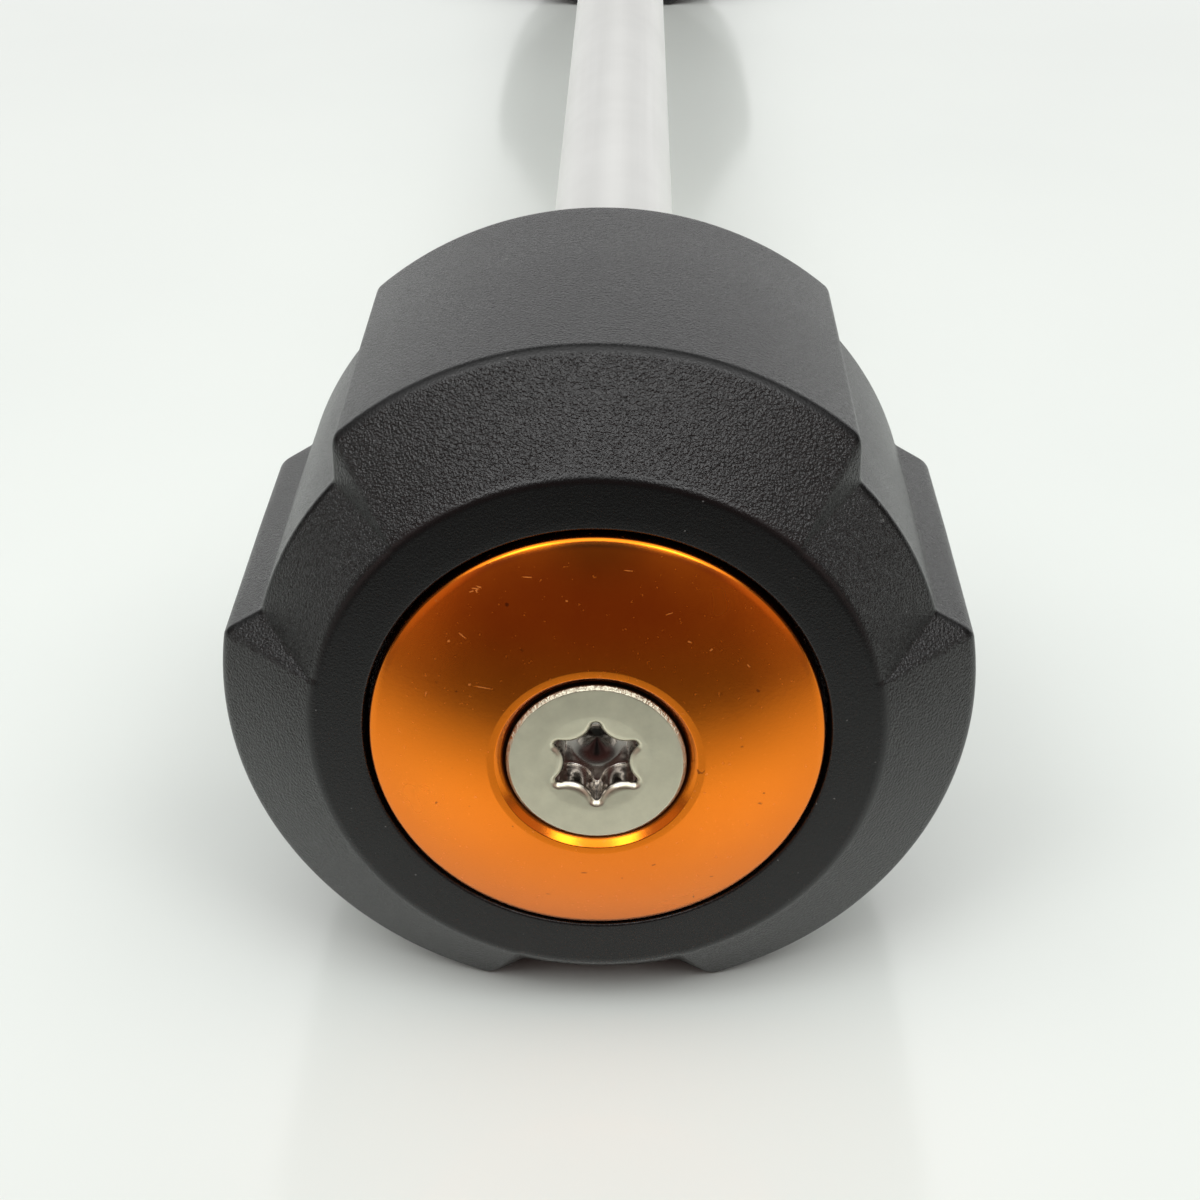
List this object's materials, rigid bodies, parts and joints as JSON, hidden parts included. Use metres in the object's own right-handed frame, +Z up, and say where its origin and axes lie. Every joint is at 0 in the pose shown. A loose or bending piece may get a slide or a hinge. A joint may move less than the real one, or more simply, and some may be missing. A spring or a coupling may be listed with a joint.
{
  "type": "fork protector",
  "caption": "Wheel-axle crash protector for a motorbike fork: a plain bar with a black three-lobed slider, an orange convex disc and a countersunk bolt on each end.",
  "frame": {"origin": "on the bar's axis, half way between the two sliders", "axes": "+Y along the bar towards the right slider, +Z up through the middle of a lobe, +X across"},
  "size_m": [0.064, 0.4228, 0.0621],
  "materials": {
    "bar": "drawn bar, bright satin",
    "slider": "moulded, fine grain, satin black",
    "disc": "turned and anodised, bright orange",
    "bolt": "stainless, plain satin",
    "sleeve": "turned, plain"
  },
  "bodies": {
    "root": {"axle_rod": "bar", "left_slider": "slider", "right_slider": "slider", "left_disc": "disc", "right_disc": "disc", "left_bolt": "bolt", "right_bolt": "bolt", "left_sleeve": "sleeve", "right_sleeve": "sleeve"}
  },
  "joints": []
}
